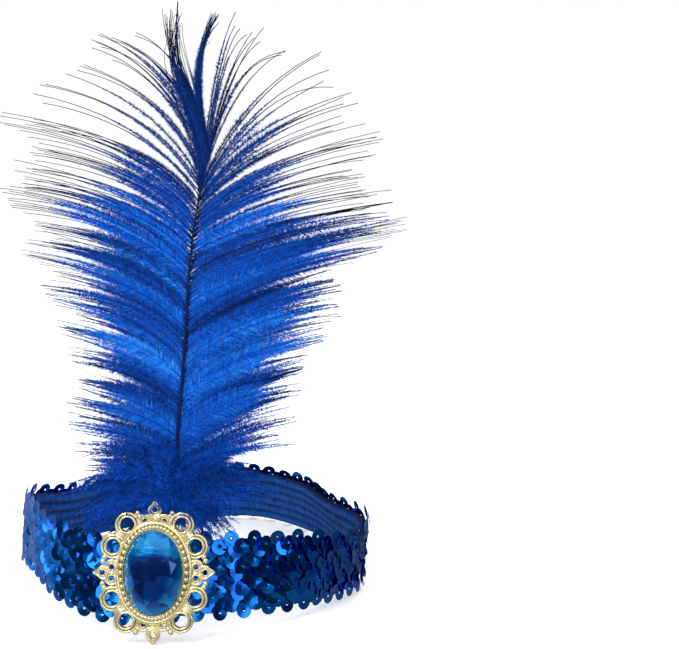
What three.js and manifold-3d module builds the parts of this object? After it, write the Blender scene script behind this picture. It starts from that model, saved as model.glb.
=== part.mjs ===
// Showgirl headband: a stretch band covered in sequins, with a filigree brooch, an oval stone
// and one ostrich plume. Millimetres, +Z up, the wearer faces -Y and +X is to the right of the
// picture seen from the front. It rests on the band's lower edge and on the brooch's lowest point.
import * as THREE from "three";
import { ConvexGeometry } from "three/addons/geometries/ConvexGeometry.js";
import { ParametricGeometry } from "three/addons/geometries/ParametricGeometry.js";
import { mergeVertices } from "three/addons/utils/BufferGeometryUtils.js";
import Module from "manifold-3d";

const wasm = await Module();
wasm.setup();

// Band
const BAND_HEIGHT = 33;
const SCALLOPS = 60;
const SCALLOP_DEPTH = 1;
const COVER_OUTSIDE = 1;
const COVER_INSIDE = -0.5;
const SEQUIN_STEP = 0.5;
const SEQUIN_ROWS = 7;
const LINING_GAP = 0.8;
const WALL_RISES = 2;
const ELASTIC_WALL = 1.2;
const RIB_HEIGHT = 0.7;
const RIBS = 6;
const ELASTIC_TOP = 0.96;

// One row for each station round the loop, from the left side past the front: the middle of the
// wall, how far its top edge leans inwards in degrees, and its lower edge's lift off the table.
const BAND_STATIONS = [
  { x: -72.3, y: 2, lean: 7, lift: 3 },
  { x: -60, y: -23, lean: -1, lift: 5.5 },
  { x: -41, y: -49, lean: 1, lift: 5 },
  { x: -15, y: -63, lean: 9, lift: 4 },
  { x: 15, y: -59, lean: 9, lift: 4.5 },
  { x: 44, y: -48.5, lean: -2, lift: 3.5 },
  { x: 63.5, y: -34, lean: -17, lift: 1.5 },
  { x: 71.5, y: -13, lean: -5, lift: 0.5 },
  { x: 60, y: 18, lean: 19, lift: 0 },
  { x: 43, y: 46, lean: 19, lift: 0 },
  { x: 15, y: 65.5, lean: 21, lift: 0 },
  { x: -15, y: 61, lean: 15, lift: 0 },
  { x: -43, y: 44, lean: 16, lift: 0 },
  { x: -61.5, y: 21, lean: 20, lift: 1 },
];

// Brooch, drawn flat with z = 0 at the stone's girdle and +z away from the band
const BROOCH_CENTRE = { x: -0.5, y: -69.5, z: 25.43 };
const BROOCH_LEAN = 13;
const BROOCH_TURN = 4;
const STONE_HALF = { x: 10.6, y: 15 };
const STONE_TABLE = { share: 0.6, z: 3.4 };
const STONE_BREAK = { share: 0.84, z: 2.1 };
const STONE_FACETS = 12;
const STONE_BACK = { share: 0.93, z: -1.2 };
const PLATE = { back: -3, front: -1.6 };
const PLATE_MIDDLE = (PLATE.back + PLATE.front) / 2;
const PLATE_HALF = { x: 14.4, y: 18.6 };
const CUP = { inner: 0.35, wall: 1.1, top: 0.5 };
const BEAD_RIM = { outside: 1.9, width: 1.7, top: -0.9 };
const RING = { plate: 4.4, hole: 2.6, rim: 3.9, raised: 0.6, sides: 12 };
const RING_CENTRES = [{ x: 9.9, y: 17.05 }, { x: 14.9, y: 9.35 }];
const BAR = { length: 5, width: 3.2 };
const EYE = { plate: 2.1, hole: 0.75, rim: 1.5, raised: 0.5, sides: 6 };
const PEARL = { radius: 1.3, sides: 6 };
// A trefoil point: its outer eye and its inner pair, measured out from the brooch's centre
const POINTS = [
  { turn: 0, eye: 22.5, pair: 18.3, spread: 3.5, tip: 25.4 },
  { turn: 90, eye: 18.6, pair: 15.2, spread: 2, tip: 22.3 },
  { turn: 180, eye: 22.5, pair: 18.3, spread: 3.5, tip: 25.4 },
  { turn: 270, eye: 18.6, pair: 15.2, spread: 2, tip: 22.3 },
];
const POINT_NECK = { width: 2.4, below: 1.5 };
const PEARL_CENTRES = [{ x: 5.5, y: 20 }, { x: 18, y: 5.4 }];
const PAD = { width: 15, low: -16, high: -6, back: -5.9, gap: 0.3 };

// Plume: the quill's line, then a row for each pair of locks, left and right
const QUILL = [
  { x: 3.6, y: -65.4, z: 22 },
  { x: 4.2, y: -61.9, z: 37 },
  { x: 5.4, y: -58.6, z: 53 },
  { x: 6.6, y: -57, z: 75 },
  { x: 9.4, y: -55.8, z: 103 },
  { x: 11.9, y: -54.9, z: 138 },
  { x: 15, y: -54.5, z: 157 },
  { x: 19, y: -54.5, z: 174 },
  { x: 13.5, y: -55.2, z: 195 },
  { x: 8, y: -56.2, z: 211 },
  { x: 10.2, y: -58.1, z: 226 },
];
const QUILL_RADIUS = { foot: 1.1, tip: 0.35 };
const LOCKS = [
  { root: 63, leftX: -29, leftZ: 70, rightX: 46, rightZ: 76 },
  { root: 69, leftX: -31, leftZ: 81, rightX: 45, rightZ: 86 },
  { root: 77, leftX: -29, leftZ: 92, rightX: 50, rightZ: 97 },
  { root: 86, leftX: -32, leftZ: 106, rightX: 55, rightZ: 109 },
  { root: 95, leftX: -37, leftZ: 120, rightX: 57, rightZ: 121 },
  { root: 104, leftX: -42, leftZ: 133, rightX: 67, rightZ: 133 },
  { root: 113, leftX: -45, leftZ: 145, rightX: 79, rightZ: 144 },
  { root: 123, leftX: -54, leftZ: 161, rightX: 82, rightZ: 157 },
  { root: 133, leftX: -55, leftZ: 174, rightX: 81, rightZ: 168 },
  { root: 143, leftX: -53, leftZ: 186, rightX: 75, rightZ: 181 },
  { root: 153, leftX: -40, leftZ: 198, rightX: 66, rightZ: 195 },
  { root: 162, leftX: -28, leftZ: 207, rightX: 55, rightZ: 208 },
  { root: 171, leftX: -15, leftZ: 217, rightX: 42, rightZ: 217 },
  { root: 180, leftX: -6, leftZ: 222, rightX: 30, rightZ: 222 },
];
const LOCK_PROFILE = [[0, 0], [0.02, 0.75], [0.32, 1], [0.68, 0.68], [1, 0]];
const LOCK_SIDES = 4;
const LOCK_HALF = { width: 6.2, depth: 4.2 };
const LOCK_BEND = { out: 0.38, up: 0.72 };
const TIP_SCATTER = 8;

// Down tuft: a collar round the quill and short locks that spill over the band's top edge
const COLLAR = { z: 54.4, height: 5, bore: 1.55, radius: 3.1, sides: 10 };
const DOWN = [
  { x: -21, y: -69, z: 46 },
  { x: -27, y: -64, z: 52 },
  { x: -28, y: -56, z: 57 },
  { x: -20, y: -50, z: 49 },
  { x: -5, y: -47, z: 51 },
  { x: 13, y: -47, z: 51 },
  { x: 28, y: -50, z: 50 },
  { x: 41, y: -57, z: 58 },
  { x: 38, y: -64, z: 53 },
  { x: 24, y: -70, z: 47 },
  { x: -15, y: -71, z: 57 },
  { x: -5, y: -75, z: 67 },
  { x: 9, y: -76, z: 71 },
  { x: 20, y: -74, z: 66 },
  { x: 29, y: -70, z: 56 },
];
const DOWN_HALF = { width: 5.4, depth: 3.2 };
const DOWN_BEND = { out: 0.5, up: 2 };

const ROYAL_BLUE = { color: 0x0a50c8, roughness: 0.8, metalness: 0 };
const SEQUIN_BLUE = { color: 0x0a4fc0, roughness: 0.25, metalness: 0.6 };
const ELASTIC_BLUE = { color: 0x0b3f86, roughness: 0.9, metalness: 0 };
const GOLD = { color: 0xe9cf78, roughness: 0.22, metalness: 1 };
const STONE_BLUE = { color: 0x0b62c4, roughness: 0.06, metalness: 0.2 };
const PAD_GREY = { color: 0xd8d8d4, roughness: 0.5, metalness: 0 };

const radians = THREE.MathUtils.degToRad;
const group = new THREE.Group();

function addPiece(parent, name, geometry, finish) {
  const mesh = new THREE.Mesh(geometry, new THREE.MeshStandardMaterial({ ...finish, flatShading: true }));
  mesh.name = name;
  parent.add(mesh);
}

// Closed position-only geometry, with the empty triangles at poles taken out
function bareGeometry(geometry) {
  const bare = new THREE.BufferGeometry();
  bare.setAttribute("position", geometry.getAttribute("position").clone());
  if (geometry.index) bare.setIndex(geometry.index.clone());
  const merged = mergeVertices(bare);
  const index = merged.index.array;
  const kept = [];
  for (let i = 0; i < index.length; i += 3) {
    const [a, b, c] = [index[i], index[i + 1], index[i + 2]];
    if (a !== b && b !== c && c !== a) kept.push(a, b, c);
  }
  merged.setIndex(kept);
  return merged;
}

function toSolid(geometry) {
  const bare = bareGeometry(geometry);
  return new wasm.Manifold(new wasm.Mesh({
    numProp: 3,
    vertProperties: new Float32Array(bare.getAttribute("position").array),
    triVerts: new Uint32Array(bare.index.array),
  }));
}

function toGeometry(solid) {
  const mesh = solid.getMesh();
  const geometry = new THREE.BufferGeometry();
  geometry.setAttribute("position", new THREE.BufferAttribute(mesh.vertProperties, 3));
  geometry.setIndex(new THREE.BufferAttribute(mesh.triVerts, 1));
  return geometry;
}

const fuse = (solids) => solids.reduce((whole, solid) => whole.add(solid));

// The band's lower and upper edges as closed curves through the stations
function bandEdges() {
  const lower = [];
  const upper = [];
  const count = BAND_STATIONS.length;
  BAND_STATIONS.forEach((station, i) => {
    const before = BAND_STATIONS[(i + count - 1) % count];
    const after = BAND_STATIONS[(i + 1) % count];
    const outward = new THREE.Vector2(after.y - before.y, before.x - after.x).normalize();
    const lean = radians(station.lean);
    const shift = BAND_HEIGHT / 2 * Math.sin(lean);
    const { x, y, lift } = station;
    lower.push(new THREE.Vector3(x + outward.x * shift, y + outward.y * shift, lift));
    const top = lift + BAND_HEIGHT * Math.cos(lean);
    upper.push(new THREE.Vector3(x - outward.x * shift, y - outward.y * shift, top));
  });
  return [lower, upper].map((points) => new THREE.CatmullRomCurve3(points, true, "catmullrom", 0.5));
}

// A point of the band's wall: height runs from 0 to 1 between the edges, outward is level
function wallPoint([lower, upper], around, height, outward, target) {
  const low = lower.getPoint(around);
  const high = upper.getPoint(around);
  const along = lower.getTangent(around).add(upper.getTangent(around));
  const normal = new THREE.Vector2(along.y, -along.x).normalize();
  target.lerpVectors(low, high, height);
  target.x += normal.x * outward;
  target.y += normal.y * outward;
  target.z = Math.max(target.z, 0);
}

// A wall swept round the band: section(i, k) gives the height and the outward distance of the
// section's point k at step i
function bandWall(edges, steps, sectionPoints, section) {
  const surface = (u, v, target) => {
    const step = Math.round(u * steps) % steps;
    const point = section(step, Math.round(v * sectionPoints) % sectionPoints);
    wallPoint(edges, step / steps, point.height, point.outward, target);
  };
  return bareGeometry(new ParametricGeometry(surface, steps, sectionPoints));
}

// Rows of overlapping sequins: each row stands a step prouder at its lower end, and the first and
// last rows end in scallops
function sequinCover(edges) {
  const rows = SEQUIN_ROWS + 1;
  const scallop = SCALLOP_DEPTH / BAND_HEIGHT;
  return bandWall(edges, SCALLOPS * 2, rows + WALL_RISES + 1, (step, k) => {
    const dip = step % 2 ? scallop : 0;
    const span = 1 - 2 * dip;
    if (k >= rows) {
      return { height: 1 - dip - (k - rows) / WALL_RISES * span, outward: COVER_INSIDE };
    }
    return { height: dip + k / (rows - 1) * span, outward: COVER_OUTSIDE + (k % 2 ? SEQUIN_STEP : 0) };
  });
}

function elasticBand(edges) {
  const ribPoints = RIBS * 2 + 1;
  const outside = COVER_INSIDE - LINING_GAP;
  return bandWall(edges, SCALLOPS, WALL_RISES + 1 + ribPoints, (step, k) => {
    if (k <= WALL_RISES) return { height: k / WALL_RISES * ELASTIC_TOP, outward: outside };
    const rib = ribPoints + WALL_RISES - k;
    return {
      height: rib / (ribPoints - 1) * ELASTIC_TOP,
      outward: outside - ELASTIC_WALL - (rib % 2 ? RIB_HEIGHT : 0),
    };
  });
}

function disc(x, y, radius, low, high, sides) {
  const geometry = new THREE.CylinderGeometry(radius, radius, high - low, sides);
  geometry.rotateX(Math.PI / 2);
  geometry.translate(x, y, (low + high) / 2);
  return toSolid(geometry);
}

function oval(halfX, halfY, low, high, hole = null) {
  const shape = new THREE.Shape();
  shape.absellipse(0, 0, halfX, halfY, 0, Math.PI * 2);
  if (hole) {
    const opening = new THREE.Path();
    opening.absellipse(0, 0, hole.x, hole.y, 0, Math.PI * 2);
    shape.holes.push(opening);
  }
  const geometry = new THREE.ExtrudeGeometry(shape, { depth: high - low, bevelEnabled: false, curveSegments: 14 });
  geometry.translate(0, 0, low);
  return toSolid(geometry);
}

function prism(corners, low, high) {
  const shape = new THREE.Shape(corners.map(([x, y]) => new THREE.Vector2(x, y)));
  const geometry = new THREE.ExtrudeGeometry(shape, { depth: high - low, bevelEnabled: false });
  geometry.translate(0, 0, low);
  return geometry;
}

const mirrorFour = ({ x, y }) => [[x, y], [-x, y], [-x, -y], [x, -y]];

// A trefoil point: three eyes, the outer one drawn out to a tip
function trefoil(point) {
  const turned = (x, y) => {
    const corner = new THREE.Vector2(x, y).rotateAround(new THREE.Vector2(), -radians(point.turn));
    return [corner.x, corner.y];
  };
  const eyes = [turned(0, point.eye), turned(-point.spread, point.pair), turned(point.spread, point.pair)];
  const neck = point.eye - POINT_NECK.below;
  const outline = [
    turned(-point.spread, point.pair),
    turned(point.spread, point.pair),
    turned(POINT_NECK.width, neck),
    turned(0, point.tip),
    turned(-POINT_NECK.width, neck),
  ];
  return { eyes, body: toSolid(prism(outline, PLATE.back, PLATE.front)) };
}

function broochFrame() {
  const rings = RING_CENTRES.flatMap(mirrorFour);
  const trefoils = POINTS.map(trefoil);
  const eyes = trefoils.flatMap(({ eyes }) => eyes);
  const plates = [oval(PLATE_HALF.x, PLATE_HALF.y, PLATE.back, PLATE.front)];
  rings.forEach(([x, y]) => plates.push(disc(x, y, RING.plate, PLATE.back, PLATE.front, RING.sides)));
  eyes.forEach(([x, y]) => plates.push(disc(x, y, EYE.plate, PLATE.back, PLATE.front, EYE.sides)));
  trefoils.forEach(({ body }) => plates.push(body));
  mirrorFour({ x: 1, y: 1 }).forEach(([signX, signY]) => plates.push(ringBar(signX, signY)));
  PEARL_CENTRES.flatMap(mirrorFour).forEach(([x, y]) => {
    plates.push(disc(x, y, PEARL.radius, PLATE.back, PLATE.front + PEARL.radius / 2, PEARL.sides));
  });
  let frame = fuse(plates);
  const raise = (centres, { rim, raised, sides }) => centres.forEach(([x, y]) => {
    frame = frame.add(disc(x, y, rim, PLATE_MIDDLE, PLATE.front + raised, sides));
  });
  raise(rings, RING);
  raise(eyes, EYE);
  const rimInside = { x: STONE_HALF.x + BEAD_RIM.outside, y: STONE_HALF.y + BEAD_RIM.outside };
  const { width, top } = BEAD_RIM;
  frame = frame.add(oval(rimInside.x + width, rimInside.y + width, PLATE_MIDDLE, top, rimInside));
  const inside = { x: STONE_HALF.x + CUP.inner, y: STONE_HALF.y + CUP.inner };
  frame = frame.add(oval(inside.x + CUP.wall, inside.y + CUP.wall, PLATE_MIDDLE, CUP.top, inside));
  const pierce = (centres, { hole, raised, sides }) => centres.forEach(([x, y]) => {
    frame = frame.subtract(disc(x, y, hole, PLATE.back - raised, PLATE.front + raised * 2, sides));
  });
  pierce(rings, RING);
  pierce(eyes, EYE);
  return toGeometry(frame);
}

// The flat bar that joins the two rings of a corner
function ringBar(signX, signY) {
  const [first, second] = RING_CENTRES.map(({ x, y }) => new THREE.Vector2(x * signX, y * signY));
  const middle = first.clone().lerp(second, 0.5);
  const along = second.clone().sub(first).normalize();
  const geometry = new THREE.BoxGeometry(BAR.length, BAR.width, PLATE.front - PLATE.back);
  geometry.rotateZ(Math.atan2(along.y, along.x));
  geometry.translate(middle.x, middle.y, PLATE_MIDDLE);
  return toSolid(geometry);
}

// Oval cut: a flat table, a ring of star facets, a ring of kites down to the girdle, a foiled back
function broochStone() {
  const points = [];
  const addRing = (share, z, count, offset) => {
    for (let i = 0; i < count; i += 1) {
      const angle = (i + offset) / count * Math.PI * 2;
      points.push(new THREE.Vector3(
        STONE_HALF.x * share * Math.cos(angle),
        STONE_HALF.y * share * Math.sin(angle),
        z,
      ));
    }
  };
  addRing(STONE_TABLE.share, STONE_TABLE.z, STONE_FACETS, 0);
  addRing(STONE_BREAK.share, STONE_BREAK.z, STONE_FACETS, 0.5);
  addRing(1, 0, STONE_FACETS * 2, 0);
  addRing(STONE_BACK.share, STONE_BACK.z, STONE_FACETS * 2, 0);
  return bareGeometry(new ConvexGeometry(points));
}

function broochPad() {
  const { width, low, high, back, gap } = PAD;
  const corners = [[-width / 2, low], [width / 2, low], [width / 2, high], [-width / 2, high]];
  return prism(corners, back, PLATE.back - gap);
}

// A spindle bent along a curve; facing is the direction that its depth is measured in
function bentSpindle(curve, profile, sides, halfWidth, halfDepth, facing) {
  const outline = profile.map(([along, size]) => new THREE.Vector2(size, along));
  const geometry = new THREE.LatheGeometry(outline, sides);
  const position = geometry.getAttribute("position");
  for (let i = 0; i < position.count; i += 1) {
    const along = THREE.MathUtils.clamp(position.getY(i), 0, 1);
    const tangent = curve.getTangent(along);
    const across = tangent.clone().cross(facing).normalize();
    const through = across.clone().cross(tangent);
    const point = curve.getPoint(along)
      .addScaledVector(across, position.getX(i) * halfWidth)
      .addScaledVector(through, position.getZ(i) * halfDepth);
    position.setXYZ(i, point.x, point.y, point.z);
  }
  return toSolid(geometry);
}

const BACKWARDS = new THREE.Vector3(0, 1, 0);
const quillCurve = new THREE.CatmullRomCurve3(QUILL.map(({ x, y, z }) => new THREE.Vector3(x, y, z)));

// The quill's point at a height, found by halving
function quillAt(height) {
  let low = 0;
  let high = 1;
  for (let i = 0; i < 20; i += 1) {
    const middle = (low + high) / 2;
    if (quillCurve.getPoint(middle).z < height) low = middle;
    else high = middle;
  }
  return { point: quillCurve.getPoint(low), tangent: quillCurve.getTangent(low) };
}

function plumeLock(root, tip) {
  const reach = tip.clone().sub(root);
  const bend = root.clone().add(new THREE.Vector3(reach.x * LOCK_BEND.out, reach.y / 2, reach.z * LOCK_BEND.up));
  const curve = new THREE.QuadraticBezierCurve3(root, bend, tip);
  return bentSpindle(curve, LOCK_PROFILE, LOCK_SIDES, LOCK_HALF.width, LOCK_HALF.depth, BACKWARDS);
}

function ostrichPlume() {
  const steps = QUILL.length * 2;
  const profile = [[0, 0]];
  for (let i = 0; i <= steps; i += 1) {
    const along = i / steps;
    profile.push([along, THREE.MathUtils.lerp(QUILL_RADIUS.foot, QUILL_RADIUS.tip, along)]);
  }
  profile.push([1, 0]);
  let plume = bentSpindle(quillCurve, profile, 6, 1, 1, BACKWARDS);
  LOCKS.forEach((lock, i) => {
    const root = quillAt(lock.root).point;
    const scatter = i % 2 ? TIP_SCATTER : -TIP_SCATTER;
    const left = new THREE.Vector3(lock.leftX, root.y + scatter, lock.leftZ);
    const right = new THREE.Vector3(lock.rightX, root.y - scatter, lock.rightZ);
    plume = plume.add(plumeLock(root, left)).add(plumeLock(root, right));
  });
  return toGeometry(plume);
}

function downTuft() {
  const { point, tangent } = quillAt(COLLAR.z);
  const { bore, radius, height, sides } = COLLAR;
  const corners = [[bore, -height / 2], [radius, -height / 2], [radius, height / 2], [bore, height / 2]];
  const outline = [...corners, corners[0]].map(([x, y]) => new THREE.Vector2(x, y));
  const ring = new THREE.LatheGeometry(outline, sides);
  ring.applyQuaternion(new THREE.Quaternion().setFromUnitVectors(BACKWARDS, tangent));
  ring.translate(point.x, point.y, point.z);
  let tuft = toSolid(ring);
  const clear = (bore + radius) / 2;
  DOWN.forEach(({ x, y, z }) => {
    const tip = new THREE.Vector3(x, y, z);
    const outward = tip.clone().sub(point).setZ(0).normalize();
    const root = point.clone().addScaledVector(outward, clear);
    const reach = tip.clone().sub(root);
    const bend = root.clone().add(new THREE.Vector3(
      reach.x * DOWN_BEND.out,
      reach.y * DOWN_BEND.out,
      reach.z / 2 + DOWN_BEND.up,
    ));
    const curve = new THREE.QuadraticBezierCurve3(root, bend, tip);
    const facing = outward.clone().cross(new THREE.Vector3(0, 0, 1));
    tuft = tuft.add(bentSpindle(curve, LOCK_PROFILE, LOCK_SIDES, DOWN_HALF.depth, DOWN_HALF.width, facing));
  });
  const cut = new THREE.CylinderGeometry(bore, bore, height * 2, sides);
  cut.applyQuaternion(new THREE.Quaternion().setFromUnitVectors(BACKWARDS, tangent));
  cut.translate(point.x, point.y, point.z);
  return toGeometry(tuft.subtract(toSolid(cut)));
}

const edges = bandEdges();
addPiece(group, "elastic_band", elasticBand(edges), ELASTIC_BLUE);
addPiece(group, "sequin_cover", sequinCover(edges), SEQUIN_BLUE);

const brooch = new THREE.Group();
brooch.position.set(BROOCH_CENTRE.x, BROOCH_CENTRE.y, BROOCH_CENTRE.z);
brooch.rotation.set(Math.PI / 2 - radians(BROOCH_LEAN), 0, radians(BROOCH_TURN), "ZXY");
addPiece(brooch, "brooch_frame", broochFrame(), GOLD);
addPiece(brooch, "brooch_stone", broochStone(), STONE_BLUE);
addPiece(brooch, "brooch_pad", broochPad(), PAD_GREY);
group.add(brooch);

addPiece(group, "ostrich_plume", ostrichPlume(), ROYAL_BLUE);
addPiece(group, "down_tuft", downTuft(), ROYAL_BLUE);

// The origin is under the middle of the whole piece, on the table
group.updateMatrixWorld(true);
const box = new THREE.Box3().setFromObject(group, true);
const middle = box.getCenter(new THREE.Vector3());
group.position.set(-middle.x, -middle.y, -box.min.z);
group.updateMatrixWorld(true);

export default group;
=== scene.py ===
import math

import bmesh
import bpy
import numpy as np
from mathutils import Matrix, Vector


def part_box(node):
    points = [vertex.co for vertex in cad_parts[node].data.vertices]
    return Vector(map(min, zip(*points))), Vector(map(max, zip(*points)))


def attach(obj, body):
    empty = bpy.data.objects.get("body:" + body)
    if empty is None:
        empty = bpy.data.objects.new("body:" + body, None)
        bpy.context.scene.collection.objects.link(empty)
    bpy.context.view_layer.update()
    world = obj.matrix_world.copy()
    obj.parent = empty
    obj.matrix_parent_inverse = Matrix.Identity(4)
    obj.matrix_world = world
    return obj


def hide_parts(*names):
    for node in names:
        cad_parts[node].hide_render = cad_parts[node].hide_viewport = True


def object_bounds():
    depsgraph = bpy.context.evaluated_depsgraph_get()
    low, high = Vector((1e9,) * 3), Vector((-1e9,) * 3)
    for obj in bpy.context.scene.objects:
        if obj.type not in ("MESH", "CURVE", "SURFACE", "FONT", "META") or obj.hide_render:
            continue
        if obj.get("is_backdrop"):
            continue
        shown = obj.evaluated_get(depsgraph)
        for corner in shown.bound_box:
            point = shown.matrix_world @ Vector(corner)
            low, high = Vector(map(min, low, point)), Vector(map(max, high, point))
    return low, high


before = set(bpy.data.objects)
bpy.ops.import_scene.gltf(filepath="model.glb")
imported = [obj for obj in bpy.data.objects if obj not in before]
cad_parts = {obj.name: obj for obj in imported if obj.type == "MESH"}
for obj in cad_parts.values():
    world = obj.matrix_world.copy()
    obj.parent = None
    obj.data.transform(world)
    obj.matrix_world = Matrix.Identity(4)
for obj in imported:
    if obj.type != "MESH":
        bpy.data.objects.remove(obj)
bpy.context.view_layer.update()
scene = bpy.context.scene
collection = scene.collection


# The table, the light and the camera. The headband stands on a pale table under a wide soft
# light from above, and is seen from its front, a little to one side and from above.
def make_object(name, data):
    item = bpy.data.objects.new(name, data)
    collection.objects.link(item)
    return item


def make_piece(name, shape, smooth=True):
    """The bmesh becomes a named object, and is freed."""
    mesh = bpy.data.meshes.new(name)
    shape.to_mesh(mesh)
    shape.free()
    if smooth:
        mesh.shade_smooth()
    return make_object(name, mesh)


def set_sockets(node, sockets):
    """Constant values go into a node's sockets, found by name."""
    for key, value in sockets.items():
        node.inputs[key.replace("_", " ")].default_value = value


def make_material(name, **sockets):
    """A Principled material with its constant sockets set; returns it, its nodes and shader."""
    material = bpy.data.materials.new(name)
    material.use_nodes = True
    nodes = material.node_tree.nodes
    shader = nodes["Principled BSDF"]
    set_sockets(shader, sockets)
    return material, nodes, shader


def add_node(nodes, kind, attributes=None, **sockets):
    """A shader node, with its attributes and then its constant sockets set."""
    node = nodes.new(kind)
    for key, value in (attributes or {}).items():
        setattr(node, key, value)
    set_sockets(node, sockets)
    return node


def join(source, output, target, socket):
    """A link from one node's output to another node's socket."""
    source.id_data.links.new(source.outputs[output], target.inputs[socket])


scene.view_settings.view_transform = "Standard"
camera = make_object("camera", bpy.data.cameras.new("camera"))
scene.camera = camera
camera.data.lens = 57.5
camera.data.clip_start = 0.01
camera.location = (0.09195, -0.435, 0.16865)
camera_drop, camera_heading = 8.08, 4.41
camera.rotation_euler = (math.radians(90 - camera_drop), 0, math.radians(camera_heading))

table_half, table_middle = 2, (0, 1.3, -0.0003)
table_shape = bmesh.new()
bmesh.ops.create_grid(table_shape, x_segments=1, y_segments=1, size=table_half)
bmesh.ops.translate(table_shape, verts=table_shape.verts, vec=table_middle)
table = make_piece("table", table_shape)
table_white, nodes, shader = make_material(
    "table_white", Base_Color=(0.9, 0.9, 0.9, 1), Roughness=0.9,
    Emission_Color=(1, 1, 1, 1), Emission_Strength=0.42,
)
# In the gloss of the sequins the table is bright on the left and dark on the right
table_place = add_node(nodes, "ShaderNodeTexCoord")
table_split = add_node(nodes, "ShaderNodeSeparateXYZ")
table_fade = add_node(
    nodes, "ShaderNodeMapRange", From_Min=-0.12, From_Max=0.18, To_Min=0.42, To_Max=0.03
)
table_gloss = add_node(nodes, "ShaderNodeEmission")
table_ray = add_node(nodes, "ShaderNodeLightPath")
table_mix = add_node(nodes, "ShaderNodeMixShader")
join(table_place, "Object", table_split, 0)
join(table_split, "X", table_fade, "Value")
join(table_fade, 0, table_gloss, "Strength")
join(table_ray, "Is Glossy Ray", table_mix, 0)
join(shader, 0, table_mix, 1)
join(table_gloss, 0, table_mix, 2)
join(table_mix, 0, nodes["Material Output"], "Surface")
table.data.materials.append(table_white)
table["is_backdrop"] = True

# Gloss sees a room that is dark near the ground and bright overhead; the eye sees plain white
world = bpy.data.worlds.new("soft_room")
scene.world = world
world.use_nodes = True
nodes = world.node_tree.nodes
soft_sky = nodes["Background"]
soft_sky.inputs["Color"].default_value = (0.93, 0.96, 1, 1)
soft_sky.inputs["Strength"].default_value = 0.75
sky_place = add_node(nodes, "ShaderNodeTexCoord")
sky_split = add_node(nodes, "ShaderNodeSeparateXYZ")
sky_rise = add_node(
    nodes, "ShaderNodeMapRange", {"interpolation_type": "SMOOTHSTEP"},
    From_Min=0.25, From_Max=0.8, To_Min=0.035, To_Max=0.9,
)
gloss_sky = add_node(nodes, "ShaderNodeBackground")
white_sheet = add_node(nodes, "ShaderNodeBackground", Color=(1, 1, 1, 1))
sky_ray = add_node(nodes, "ShaderNodeLightPath")
in_gloss = add_node(nodes, "ShaderNodeMixShader")
in_view = add_node(nodes, "ShaderNodeMixShader")
join(sky_place, "Generated", sky_split, 0)
join(sky_split, "Z", sky_rise, "Value")
join(sky_rise, 0, gloss_sky, "Strength")
join(sky_ray, "Is Glossy Ray", in_gloss, 0)
join(soft_sky, 0, in_gloss, 1)
join(gloss_sky, 0, in_gloss, 2)
join(sky_ray, "Is Camera Ray", in_view, 0)
join(in_gloss, 0, in_view, 1)
join(white_sheet, 0, in_view, 2)
join(in_view, 0, nodes["World Output"], 0)


def soft_box(name, place, width, height, watts, aim=(0, 0, 0.08)):
    """A soft box that faces the headband and isn't seen itself."""
    lamp = bpy.data.lights.new(name, "AREA")
    lamp.shape = "RECTANGLE"
    lamp.size, lamp.size_y = width, height
    lamp.energy = watts
    item = make_object(name, lamp)
    item.location = place
    item.rotation_euler = (Vector(aim) - item.location).to_track_quat("-Z", "Y").to_euler()
    item.visible_camera = False


# The front box's lower edge is the level line in the stone's table
soft_box("front_box", (-0.05, -1.05, 0.391), 0.7, 0.5, 2.3, aim=(-0.05, 0, 0.391))
soft_box("side_box", (0.83, -0.81, 0.27), 0.42, 0.4, 0.85, aim=(0.02, -0.06, 0.27))
soft_box("left_box", (-1.0, -0.2, 0.09), 0.36, 0.3, 0.62, aim=(0, -0.05, 0.09))
soft_box("high_key", (-0.45, -0.55, 0.95), 0.4, 0.4, 5.5)
soft_box("high_rim", (0.4, 0.6, 0.9), 0.4, 0.4, 3)


# The elastic band: covered rubber cords woven into a ribbed ribbon, gathered into fine upright
# flutes. Its two ends are sewn into a loop, and the sequins are stitched to its outside.
band_height = 0.033
# One row a station: the wall's middle x and y, its top edge's lean inwards in degrees, its lift
stations = np.array([
    (-0.0723, 0.002, 7, 0.003),
    (-0.06, -0.023, -1, 0.0055),
    (-0.041, -0.049, 1, 0.005),
    (-0.015, -0.063, 9, 0.004),
    (0.015, -0.059, 9, 0.0045),
    (0.044, -0.0485, -2, 0.0035),
    (0.0635, -0.034, -17, 0.0015),
    (0.0715, -0.013, -5, 0.0005),
    (0.06, 0.018, 19, 0),
    (0.043, 0.046, 19, 0),
    (0.015, 0.0655, 21, 0),
    (-0.015, 0.061, 15, 0),
    (-0.043, 0.044, 16, 0),
    (-0.0615, 0.021, 20, 0.001),
])


def unit(rows):
    return rows / np.linalg.norm(rows, axis=-1, keepdims=True)


def through(points, around):
    """A smooth closed curve through the points; around runs once from 0 to 1."""
    place = np.mod(around, 1) * len(points)
    first = np.floor(place).astype(int)
    part = (place - first)[:, None]
    a, b, c, d = (points[(first + step) % len(points)] for step in (-1, 0, 1, 2))
    bend = (2 * a - 5 * b + 4 * c - d) * part**2 + (3 * b - a - 3 * c + d) * part**3
    return b + ((c - a) * part + bend) / 2


along = np.roll(stations, -1, axis=0)[:, :2] - np.roll(stations, 1, axis=0)[:, :2]
outward = unit(np.column_stack([along[:, 1], -along[:, 0]]))
lean = np.radians(stations[:, 2])
sway = outward * (band_height / 2 * np.sin(lean))[:, None]
lower_edge = np.column_stack([stations[:, :2] + sway, stations[:, 3]])
upper_edge = np.column_stack([stations[:, :2] - sway, stations[:, 3] + band_height * np.cos(lean)])
nudge = 1e-4


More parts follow.
